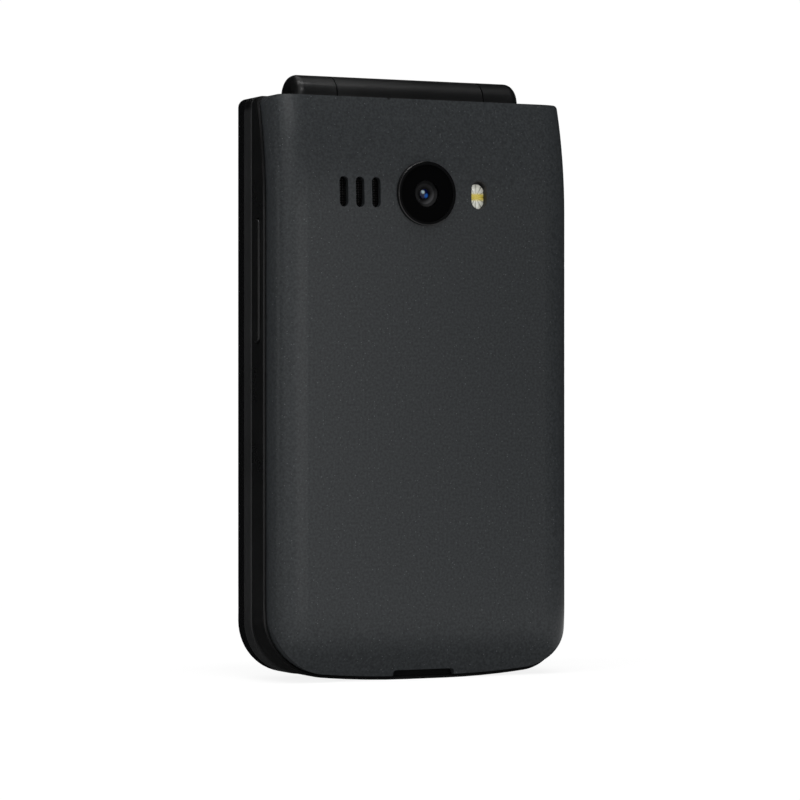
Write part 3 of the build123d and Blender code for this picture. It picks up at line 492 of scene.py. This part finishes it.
def flashFinish():  # clear lens over the white reflector and the yellow emitter, with painted shade along the grooves between its sectors
    material, tree, shader = startFinish("flashPlastic", flashLook["colour"], flashLook["roughness"])
    centre = flashCentre - Vector((0, 0, facetLook["above"] / 2))
    axes = axesOf(tree, objectPoint(tree, tuple(centre)))
    yellow = stretched(tree, computed(tree, "ABSOLUTE", axes["Z"]), *flashLook["emitter"], 0.0, 1.0)
    angle = computed(tree, "ARCTAN2", axes["Z"], axes["X"])
    turned = computed(tree, "MULTIPLY", angle, facetLook["sectors"] / 2)
    beside = computed(tree, "ABSOLUTE", computed(tree, "SINE", turned))
    # painted shade: both colours are darker in the grooves between the sectors
    grooveShade = stretched(tree, beside, 0.0, flashLook["grooveShade"], 0.0, 1.0)
    white = blended(tree, grooveShade, *flashLook["white"])
    amber = blended(tree, grooveShade, *flashLook["amber"])
    tree.links.new(blended(tree, yellow, white, amber), shader.inputs["Base Color"])
    shader.inputs["Coat Weight"].default_value = flashLook["coat"]
    shader.inputs["Coat Roughness"].default_value = flashLook["coatRoughness"]
    return material


lampLook = {"colour": (0.80, 0.60, 0.10), "roughness": 0.4, "specular": 0.5, "grain": 0.08 * mm,
            "relief": 0.01 * mm}
finishes["lens_glass"] = lensFinish()
finishes["flash_plastic"] = flashFinish()
finishes["lamp_yellow"] = plasticFinish("lampYellow", lampLook)
for windowName, windowLook in glassLooks.items():
    finishes[windowName] = glassFinish("glassOf." + windowName, windowLook)


def dressNodes():
    special = {name: finishes[name] for name in glassLooks}
    special["camera_module"] = moduleFinish()
    special["lid_inner_shell"] = barrelFinish()
    special["camera_ring"] = ringFinish()
    for part in frame["record"]["subparts"]:
        name = part["node"]
        mesh = frame["nodes"][name].data
        mesh.materials.clear()
        mesh.materials.append(special.get(name) or finishes[part["material_slot"]])


dressNodes()
print("nodes have their finishes")


def addPiece(name, mesh, body, slotName, replaced=()):
    piece = bpy.data.objects.new(name, mesh)
    scene.collection.objects.link(piece)
    if not mesh.materials:
        mesh.materials.append(finishes[slotName])
    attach(piece, body)
    if replaced:
        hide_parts(*replaced)


def evaluatedMesh(thing):
    bpy.context.view_layer.update()
    graph = bpy.context.evaluated_depsgraph_get()
    return bpy.data.meshes.new_from_object(thing.evaluated_get(graph), depsgraph=graph)


def stadiumEdge(angle, half, straight):  # how far the edge of an upright stadium lies from its middle
    across = abs(math.cos(angle))
    along = abs(math.sin(angle))
    if along * half <= straight * across:
        return half / across
    return straight * along + math.sqrt(half**2 - (straight * across) ** 2)


def stadiumRing(work, half, height, x, y, z):
    straight = height / 2 - half
    count = facetLook["sectorSteps"] * facetLook["sectors"]
    ring = []
    for step in range(count):
        angle = 2 * math.pi * step / count
        reach = stadiumEdge(angle, half, straight)
        ring.append(work.verts.new((x + reach * math.cos(angle), y, z + reach * math.sin(angle))))
    return ring


def bridged(work, first, second):
    for index in range(len(first)):
        after = (index + 1) % len(first)
        work.faces.new((first[index], first[after], second[after], second[index]))


def finished(work, name):
    bmesh.ops.recalc_face_normals(work, faces=work.faces)
    mesh = bpy.data.meshes.new(name)
    work.to_mesh(mesh)
    work.free()
    return mesh


def addFlash(name, work, finish, replaced=()):
    mesh = finished(work, name)
    mesh.materials.append(finishes[finish])
    addPiece(name, mesh, "cover", "flash_plastic", replaced)


def makeFlash():
    low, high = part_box("flash_lens")
    x, z = flashCentre.x, flashCentre.z
    half = (high.x - low.x) / 2
    height = high.z - low.z - facetLook["above"]
    front = high.y - facetLook["sink"]
    lensZ = z - facetLook["above"] / 2
    work = bmesh.new()
    rim = stadiumRing(work, half, height, x, front, lensZ)
    rear = stadiumRing(work, half, height, x, low.y, lensZ)
    for step, vertex in enumerate(rim):
        turn = 2 * math.pi * facetLook["sectors"] * step / len(rim)
        vertex.co.y -= facetLook["cut"] * (1 + math.cos(turn)) / 2
    middle = work.verts.new((x, front, lensZ))
    for index in range(len(rim)):
        work.faces.new((middle, rim[index], rim[(index + 1) % len(rim)]))
    bridged(work, rim, rear)
    work.faces.new(rear)
    addFlash("flash_facets", work, "flash_plastic", ["flash_lens"])

    outer = half + facetLook["clearance"]
    inner = outer - facetLook["liner"]
    tall = high.z - low.z + 2 * facetLook["clearance"]
    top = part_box("battery_cover")[1].y - facetLook["linerSink"]
    work = bmesh.new()
    rings = []
    for wide, y in ((outer, low.y), (outer, top), (inner, top), (inner, low.y)):
        rings.append(stadiumRing(work, wide, tall - 2 * (outer - wide), x, y, z))
    for index in range(4):
        bridged(work, rings[index], rings[(index + 1) % 4])
    addFlash("flash_liner", work, "carrier_plastic")

    work = bmesh.new()
    faces = []
    for y in (low.y + facetLook["floor"], low.y):
        faces.append(stadiumRing(work, inner, tall - 2 * facetLook["liner"], x, y, z))
        work.faces.new(faces[-1])
    bridged(work, *faces)
    addFlash("flash_floor", work, "carrier_plastic")


makeFlash()
print("flash is cut")


def groupOf(name, inputs):
    tree = bpy.data.node_groups.new(name, "GeometryNodeTree")
    sockets = {}
    for label, kind in inputs.items():
        socket = tree.interface.new_socket(label, in_out="INPUT", socket_type="NodeSocket" + kind)
        sockets[label] = socket.identifier
    tree.interface.new_socket("Geometry", in_out="OUTPUT", socket_type="NodeSocketGeometry")
    given = tree.nodes.new("NodeGroupInput").outputs
    return tree, given, tree.nodes.new("NodeGroupOutput"), sockets


tubeSides = 6


def tubed(tree, path, given, result):  # round wire along the path, ended as every tree here is
    radius = computed(tree, "MULTIPLY", given["Thickness"], 0.5)
    ring = added(tree, "GeometryNodeCurvePrimitiveCircle", {"Resolution": tubeSides, "Radius": radius})
    tube = added(tree, "GeometryNodeCurveToMesh", {
        "Curve": path, "Profile Curve": ring.outputs["Curve"], "Fill Caps": True})
    real = added(tree, "GeometryNodeRealizeInstances", {"Geometry": tube.outputs["Mesh"]})
    finish = added(tree, "GeometryNodeSetMaterial", {
        "Geometry": real.outputs["Geometry"], "Material": given["Finish"]})
    tree.links.new(finish.outputs["Geometry"], result.inputs["Geometry"])


weaveLook = {
    "pitch": 0.45 * mm,
    "wire": 0.15 * mm,
    "pointShare": 0.25,  # of the pitch, from one point of a wire to the next
    "bendFrom": 86.6 * mm,  # above this height a sheet under the cover follows the cover's bend
    "bendRadius": 70 * mm,
}


def weaveTree():  # wires along X, stacked along Z, each waving over and under the crossing set
    tree, given, result, sockets = groupOf("wireSet", {
        "Length": "Float", "Rows": "Int", "Pitch": "Float", "Wave": "Float", "Thickness": "Float",
        "Finish": "Material"})
    half = computed(tree, "MULTIPLY", given["Length"], 0.5)
    start, end = (vectorOf(tree, X=computed(tree, "MULTIPLY", half, sign)) for sign in (-1, 1))
    line = added(tree, "GeometryNodeCurvePrimitiveLine", {"Start": start, "End": end})
    spacing = computed(tree, "MULTIPLY", given["Pitch"], weaveLook["pointShare"])
    fine = added(tree, "GeometryNodeResampleCurve", {
        "Curve": line.outputs["Curve"], "Length": spacing}, mode="LENGTH")
    spans = computed(tree, "SUBTRACT", given["Rows"], 1)
    lowest = computed(tree, "MULTIPLY", computed(tree, "MULTIPLY", spans, given["Pitch"]), -0.5)
    rows = added(tree, "GeometryNodeMeshLine", {
        "Count": given["Rows"], "Start Location": vectorOf(tree, Z=lowest),
        "Offset": vectorOf(tree, Z=given["Pitch"])})
    wires = added(tree, "GeometryNodeInstanceOnPoints", {
        "Points": rows.outputs["Mesh"], "Instance": fine.outputs["Curve"]})
    real = added(tree, "GeometryNodeRealizeInstances", {"Geometry": wires.outputs["Instances"]})
    axes = axesOf(tree, added(tree, "GeometryNodeInputPosition").outputs["Position"])
    both = computed(tree, "ADD", axes["X"], axes["Z"])
    phase = computed(tree, "DIVIDE", computed(tree, "MULTIPLY", both, math.pi), given["Pitch"])
    swing = computed(tree, "MULTIPLY", computed(tree, "COSINE", phase), given["Wave"])
    moved = added(tree, "GeometryNodeSetPosition", {
        "Geometry": real.outputs["Geometry"], "Offset": vectorOf(tree, Y=swing)})
    tubed(tree, moved.outputs["Geometry"], given, result)
    return tree, sockets


def grownMesh(tree, sockets, values):
    holder = bpy.data.objects.new("grown", bpy.data.meshes.new("grown"))
    scene.collection.objects.link(holder)
    modifier = holder.modifiers.new("nodes", "NODES")
    modifier.node_group = tree
    for label, value in values.items():
        modifier[sockets[label]] = value
    mesh = evaluatedMesh(holder)
    holder.modifiers.remove(modifier)
    bpy.data.objects.remove(holder)
    return mesh


def joined(name, meshes):
    work = bmesh.new()
    for mesh in meshes:
        work.from_mesh(mesh)
        bpy.data.meshes.remove(mesh)
    result = bpy.data.meshes.new(name)
    work.to_mesh(result)
    work.free()
    return result


def makeWeave(name, body, centre, size, replaced=()):
    tree, sockets = weaves
    pitch = weaveLook["pitch"]
    wire = weaveLook["wire"]
    counts = [int(extent / pitch) for extent in size]
    meshes = []
    for turn, sign in ((0, 1), (1, -1)):
        wires = grownMesh(tree, sockets, {
            "Length": counts[turn] * pitch, "Rows": counts[1 - turn], "Pitch": pitch,
            "Wave": sign * wire / 2, "Thickness": wire, "Finish": finishes["dark_mesh"]})
        if turn:
            wires.transform(Matrix.Rotation(-math.pi / 2, 4, "Y"))
        meshes.append(wires)
    mesh = joined(name, meshes)
    mesh.transform(Matrix.Translation(centre))
    for vertex in mesh.vertices:
        above = max(0.0, vertex.co.z - weaveLook["bendFrom"])
        vertex.co.y -= above**2 / (2 * weaveLook["bendRadius"])
    addPiece(name, mesh, body, "dark_mesh", replaced)


def makeSpeakerWeave():
    low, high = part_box("speaker_mesh")
    centre = ((low.x + high.x) / 2, high.y - weaveLook["wire"], (low.z + high.z) / 2)
    makeWeave("speaker_weave", "cover", centre, (high.x - low.x, high.z - low.z), ["speaker_mesh"])


earpieceLook = {"centre": (0, -2.8 * mm, 10 * mm), "size": (8.6 * mm, 1.4 * mm)}
weaves = weaveTree()
makeSpeakerWeave()
makeWeave("earpiece_weave", "lid", earpieceLook["centre"], earpieceLook["size"])
print("meshes are woven")


antennaLook = {
    "start": (-19.0 * mm, 5.0 * mm, 85.5 * mm),
    "turns": 5,
    "pitch": 1.2 * mm,
    "width": 8.0 * mm,
    "wire": 0.28 * mm,
    "corner": 0.35 * mm,
    "cornerPoints": 4,
}


def meanderTree():  # a wire running to and fro along X while it climbs along Z
    tree, given, result, sockets = groupOf("meander", {
        "Points": "Int", "Pitch": "Float", "Width": "Float", "Corner": "Float", "Thickness": "Float",
        "Finish": "Material"})
    points = added(tree, "GeometryNodeMeshLine", {"Count": given["Points"]})
    order = added(tree, "GeometryNodeInputIndex").outputs["Index"]
    turn = computed(tree, "MULTIPLY_ADD", order, math.pi / 2, math.pi / 4)
    reach = computed(tree, "MULTIPLY", given["Width"], -math.sqrt(0.5))
    level = computed(tree, "FLOOR", computed(tree, "MULTIPLY", order, 0.5))
    spot = vectorOf(tree, X=computed(tree, "MULTIPLY", computed(tree, "COSINE", turn), reach),
                    Z=computed(tree, "MULTIPLY", level, given["Pitch"]))
    moved = added(tree, "GeometryNodeSetPosition", {"Geometry": points.outputs["Mesh"], "Position": spot})
    path = added(tree, "GeometryNodeMeshToCurve", {"Mesh": moved.outputs["Geometry"]})
    rounded = added(tree, "GeometryNodeFilletCurve", {
        "Curve": path.outputs["Curve"], "Radius": given["Corner"],
        "Count": antennaLook["cornerPoints"]}, mode="POLY")
    tubed(tree, rounded.outputs["Curve"], given, result)
    return tree, sockets


def makeAntenna():
    look = antennaLook
    tree, sockets = meanderTree()
    mesh = grownMesh(tree, sockets, {
        "Points": 4 * look["turns"], "Pitch": look["pitch"], "Width": look["width"],
        "Corner": look["corner"], "Thickness": look["wire"], "Finish": finishes["gold_contact"]})
    mesh.transform(Matrix.Translation(look["start"]))
    addPiece("antenna_wire", mesh, "base", "gold_contact")


makeAntenna()
print("antenna is wound")


labelLook = {
    "digitSize": 4.6 * mm,
    "letterSize": 2.1 * mm,
    "wordScale": 1.3,  # a word alone on its key, against the letters beside a digit
    "thickness": 0.012 * mm,
    "digitShift": -2.6 * mm,
    "letterShift": 2.6 * mm,
}
labels = {
    "key_1": ("1", ""), "key_2": ("2", "abc"), "key_3": ("3", "def"), "key_4": ("4", "ghi"),
    "key_5": ("5", "jkl"), "key_6": ("6", "mno"), "key_7": ("7", "pqrs"), "key_8": ("8", "tuv"),
    "key_9": ("9", "wxyz"), "key_star": ("*", ""), "key_0": ("0", "+"), "key_hash": ("#", ""),
    "clear_key": ("C", ""), "ok_key": ("OK", ""),
}
inks = {"white": (0.70, 0.71, 0.72), "green": (0.03, 0.42, 0.07), "red": (0.55, 0.02, 0.02)}
inkLook = {"roughness": 0.45, "specular": 0.4, "grain": 0.08 * mm, "relief": 0.002 * mm}
for inkName, ink in inks.items():
    finishes[inkName] = plasticFinish(inkName + "Ink", {"colour": ink, **inkLook})
slotOf = {part["node"]: part["material_slot"] for part in frame["record"]["subparts"]}


def textMesh(words, size, place, behind=False):
    curve = bpy.data.curves.new("words", "FONT")
    curve.body = words
    curve.size = size
    curve.align_x = "CENTER"
    curve.align_y = "CENTER"
    curve.extrude = labelLook["thickness"]
    holder = bpy.data.objects.new("words", curve)
    scene.collection.objects.link(holder)
    mesh = evaluatedMesh(holder)
    bpy.data.objects.remove(holder)
    turn = Matrix.Rotation(math.pi if behind else 0.0, 4, "Z") @ Matrix.Rotation(math.pi / 2, 4, "X")
    mesh.transform(Matrix.Translation(place) @ turn)
    return mesh


def faceOf(node):
    low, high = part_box(node)
    return Vector(((low.x + high.x) / 2, low.y, (low.z + high.z) / 2))


def printed(name, mesh, ink, body):
    mesh.materials.clear()
    mesh.materials.append(finishes[ink])
    addPiece(name, mesh, body, slotOf.get(body, "battery_wrap"))


def makeLabels():
    for node, (digit, letters) in labels.items():
        face = faceOf(node)
        alone = len(digit) > 1
        size = labelLook["letterSize"] * labelLook["wordScale"] if alone else labelLook["digitSize"]
        shift = labelLook["digitShift"] if letters else 0.0
        meshes = [textMesh(digit, size, face + Vector((shift, 0, 0)))]
        if letters:
            beside = face + Vector((labelLook["letterShift"], 0, 0))
            meshes.append(textMesh(letters, labelLook["letterSize"], beside))
        printed(node + "_label", joined(node + "_label", meshes), "white", node)


def printShapes(name, outlines, ink, node):  # flat plates of these outlines, a hair proud of the node's face
    place = faceOf(node)
    work = bmesh.new()
    for outline in outlines:
        rings = []
        for y in (-labelLook["thickness"], labelLook["thickness"]):
            rings.append([work.verts.new((place.x + x, place.y + y, place.z + z)) for x, z in outline])
            work.faces.new(rings[-1])
        bridged(work, *rings)
    printed(name, finished(work, name), ink, node)


iconLook = {
    "bar": (2.6 * mm, 0.55 * mm),
    "arrow": {"size": 0.80 * mm, "tail": 0.6, "inset": 1.7 * mm},
    "handset": {
        "radius": 2.5 * mm,  # of the arc that the handset follows
        "half": 0.36 * mm,
        "endHalf": 0.74 * mm,
        "endFrom": 0.66,  # share of the way out at which the thick ends start
        "spread": math.radians(50),
        "lean": math.radians(50),
        "lowered": 0.85,
        "steps": 8,
    },
}


def handsetOutline(upright):
    look = iconLook["handset"]
    outer = []
    inner = []
    for step in range(2 * look["steps"] + 1):
        share = step / look["steps"] - 1
        half = look["endHalf"] if abs(share) > look["endFrom"] else look["half"]
        angle = math.pi / 2 + share * look["spread"]
        for side, sign in ((outer, 1), (inner, -1)):
            reach = look["radius"] + sign * half
            side.append((reach * math.cos(angle), reach * math.sin(angle) - look["radius"] * look["lowered"]))
    turn = Matrix.Rotation(0.0 if upright else look["lean"], 2)
    return [tuple(turn @ Vector(point)) for point in outer + inner[::-1]]


def makeIcons():
    for node, ink, upright in (("call_key", "green", False), ("end_key", "red", True)):
        printShapes(node + "_icon", [handsetOutline(upright)], ink, node)
    wide, tall = (extent / 2 for extent in iconLook["bar"])
    bar = [(-wide, -tall), (wide, -tall), (wide, tall), (-wide, tall)]
    for node in ("soft_key_left", "soft_key_right"):
        printShapes(node + "_icon", [bar], "white", node)
    low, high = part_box("nav_ring")
    look = iconLook["arrow"]
    tip = look["size"]
    tail = -look["size"] * look["tail"]
    arrows = []
    for dx, dz in ((0, 1), (1, 0), (0, -1), (-1, 0)):
        reach = (high.x - low.x if dx else high.z - low.z) / 2 - look["inset"]
        corners = ((tip, 0), (tail, tip), (tail, -tip))
        arrows.append([(dx * (reach + a) - dz * b, dz * (reach + a) + dx * b) for a, b in corners])
    printShapes("nav_arrows", arrows, "white", "nav_ring")


batteryMarkLook = {"size": 6 * mm, "aside": 6 * mm, "below": 6 * mm}


def makeBatteryMarks():
    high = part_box("battery")[1]
    aside = batteryMarkLook["aside"]
    for index, (mark, x) in enumerate((("+", aside), ("-", -aside))):
        place = Vector((x, high.y, high.z - batteryMarkLook["below"]))
        mesh = textMesh(mark, batteryMarkLook["size"], place, True)
        printed("battery_mark_" + str(index), mesh, "white", "base")


makeLabels()
makeIcons()
makeBatteryMarks()
print("keys and battery are labelled")


studioLook = {
    "fill": 0.57,  # what matte faces receive from all around
    "white": 1.01,  # the paper all around, as the camera, shiny faces and glass see it
    "lamps": {
        "stripSoftbox": {
            "toward": (-0.09, 1.0, -0.14), "distance": 1.2, "size": (0.40, 0.50), "radiance": 3.5},
        "backSoftbox": {
            "toward": (-0.40, 1.0, -0.02), "distance": 1.2, "size": (0.40, 0.50), "radiance": 1.6},
        "edgeLamp": {
            "toward": (0.98, 0.16, 0.0), "distance": 1.2, "size": (0.08, 0.50), "radiance": 8.0},
        "sparkLamp": {
            "toward": (0.14, 0.74, 0.64), "distance": 1.2, "size": (0.50, 0.08), "radiance": 12.0},
        "topSoftbox": {
            "toward": (0.05, 0.20, 1.0), "distance": 1.0, "size": (1.10, 0.05), "radiance": 22.0},
        "frontSoftbox": {
            "toward": (-0.40, -1.0, 0.35), "distance": 1.2, "size": (0.7, 0.7), "radiance": 1.2},
    },
    "flags": {  # black cards that only reflections see, and matte faces too where a card shades
        "leftFlag": {"toward": (0.85, -0.50, 0.05), "distance": 0.16, "size": (0.60, 0.80)},
        "rightFlag": {"toward": (-1.00, 0.10, 0.05), "distance": 0.16, "size": (0.60, 0.80)},
        "upperFlag": {"toward": (-0.40, 0.86, 0.41), "distance": 0.9, "size": (1.10, 0.40)},
        "lowFlag": {"toward": (0.040, -0.075, -0.0553), "distance": 0.1014, "size": (0.155, 0.21),
                    "facing": (0, 0, 1)},
        "farFlag": {"toward": (-0.43, -0.80, 0.42), "distance": 0.36, "size": (0.80, 0.42)},
        "shadeCard": {"toward": (-0.94, -0.33, 0.05), "distance": 0.16, "size": (0.52, 0.70),
                      "shades": True},
    },
    "cloth": (0.004, 0.004, 0.004),
    "clothRoughness": 0.9,
}


def aimed(thing, toward):
    thing.rotation_euler = Vector(toward).to_track_quat("Z", "Y").to_euler()


def placed(name, data, look):
    holder = bpy.data.objects.new(name, data)
    scene.collection.objects.link(holder)
    direction = Vector(look["toward"]).normalized()
    middle = Vector((0, 0, (cadBox[0][2] + cadBox[1][2]) / 2))
    holder.location = middle + direction * look["distance"]
    aimed(holder, look.get("facing", direction))
    return holder


def paperSeen(tree):  # 1 for rays that see the white paper, 0 for those that only gather light
    rays = added(tree, "ShaderNodeLightPath").outputs
    direct = computed(tree, "MAXIMUM", rays["Is Camera Ray"], rays["Is Glossy Ray"])
    return computed(tree, "MAXIMUM", direct, rays["Is Transmission Ray"])


def makeLight():
    for name, lamp in studioLook["lamps"].items():
        light = bpy.data.lights.new(name, "AREA")
        light.shape = "RECTANGLE"
        light.size, light.size_y = lamp["size"]
        light.energy = lamp["radiance"] * math.pi * light.size * light.size_y
        placed(name, light, lamp)
    world = bpy.data.worlds.new("studio")
    scene.world = world
    world.use_nodes = True
    world.cycles.sampling_method = "NONE"  # the background differs by the kind of ray
    tree = world.node_tree
    background = tree.nodes["Background"]
    background.inputs["Color"].default_value = (1, 1, 1, 1)
    strength = stretched(tree, paperSeen(tree), 0.0, 1.0, studioLook["fill"], studioLook["white"])
    tree.links.new(strength, background.inputs["Strength"])


def sheetOf(name, width, height, material):
    work = bmesh.new()
    bmesh.ops.create_grid(work, x_segments=1, y_segments=1, size=0.5)
    mesh = finished(work, name)
    mesh.transform(Matrix.Diagonal((width, height, 1, 1)))
    mesh.materials.append(material)
    return mesh


def makeFlags():
    material = startFinish("flagCloth", studioLook["cloth"], studioLook["clothRoughness"], 0.0)[0]
    for name, look in studioLook["flags"].items():
        flag = placed(name, sheetOf(name, *look["size"], material), look)
        flag.visible_camera = False
        flag.visible_shadow = False
        flag.visible_diffuse = look.get("shades", False)


floorLook = {
    "size": 6.0,
    "paper": 0.22,  # share of its light that it gives back near the phone, so that the shadow stays
    "glow": 0.86,
    "reach": (0.10, 0.22),  # the shadow fades out between these distances
}


def makeFloor():  # white paper that keeps a faint shadow of the phone
    material = bpy.data.materials.new("floorPaper")
    material.use_nodes = True
    tree = material.node_tree
    tree.nodes.clear()
    away = stretched(tree, lengthOf(tree, objectPoint(tree)), *floorLook["reach"], 0.0, 1.0)
    share = stretched(tree, away, 0.0, 1.0, floorLook["paper"], 0.0)
    brightness = stretched(tree, away, 0.0, 1.0, floorLook["glow"], studioLook["white"])
    paper = added(tree, "ShaderNodeBsdfDiffuse", {"Color": share})
    glow = added(tree, "ShaderNodeEmission", {"Strength": brightness})
    white = added(tree, "ShaderNodeAddShader", {0: paper.outputs[0], 1: glow.outputs[0]})
    fill = added(tree, "ShaderNodeEmission", {"Strength": studioLook["fill"]})
    choice = added(tree, "ShaderNodeMixShader", {
        0: paperSeen(tree), 1: fill.outputs[0], 2: white.outputs[0]})
    added(tree, "ShaderNodeOutputMaterial", {"Surface": choice.outputs[0]})
    floor = bpy.data.objects.new("floor", sheetOf("floor", floorLook["size"], floorLook["size"], material))
    floor.location.z = cadBox[0][2]
    scene.collection.objects.link(floor)


cameraLook = {
    "yaw": math.radians(25.5),  # round from straight behind the battery cover
    "distance": 0.610,
    "height": 51.5 * mm,
    "aside": 5.28 * mm,
    "lens": 148.8,  # focal length and sensor width, in millimetres as Blender counts them
    "sensor": 36,
    "nearest": 10 * mm,
}


def makeCamera():
    yaw = cameraLook["yaw"]
    back = Vector((math.sin(yaw), math.cos(yaw), 0))
    right = Vector((-math.cos(yaw), math.sin(yaw), 0))
    data = bpy.data.cameras.new("camera")
    data.lens = cameraLook["lens"]
    data.sensor_width = cameraLook["sensor"]
    data.clip_start = cameraLook["nearest"]
    camera = bpy.data.objects.new("camera", data)
    scene.collection.objects.link(camera)
    start = Vector((0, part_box("battery_cover")[1].y, cameraLook["height"]))
    camera.location = start - right * cameraLook["aside"] + back * cameraLook["distance"]
    aimed(camera, back)
    scene.camera = camera


makeLight()
makeFlags()
makeFloor()
makeCamera()
scene.view_settings.view_transform = "Standard"
print("studio is ready")
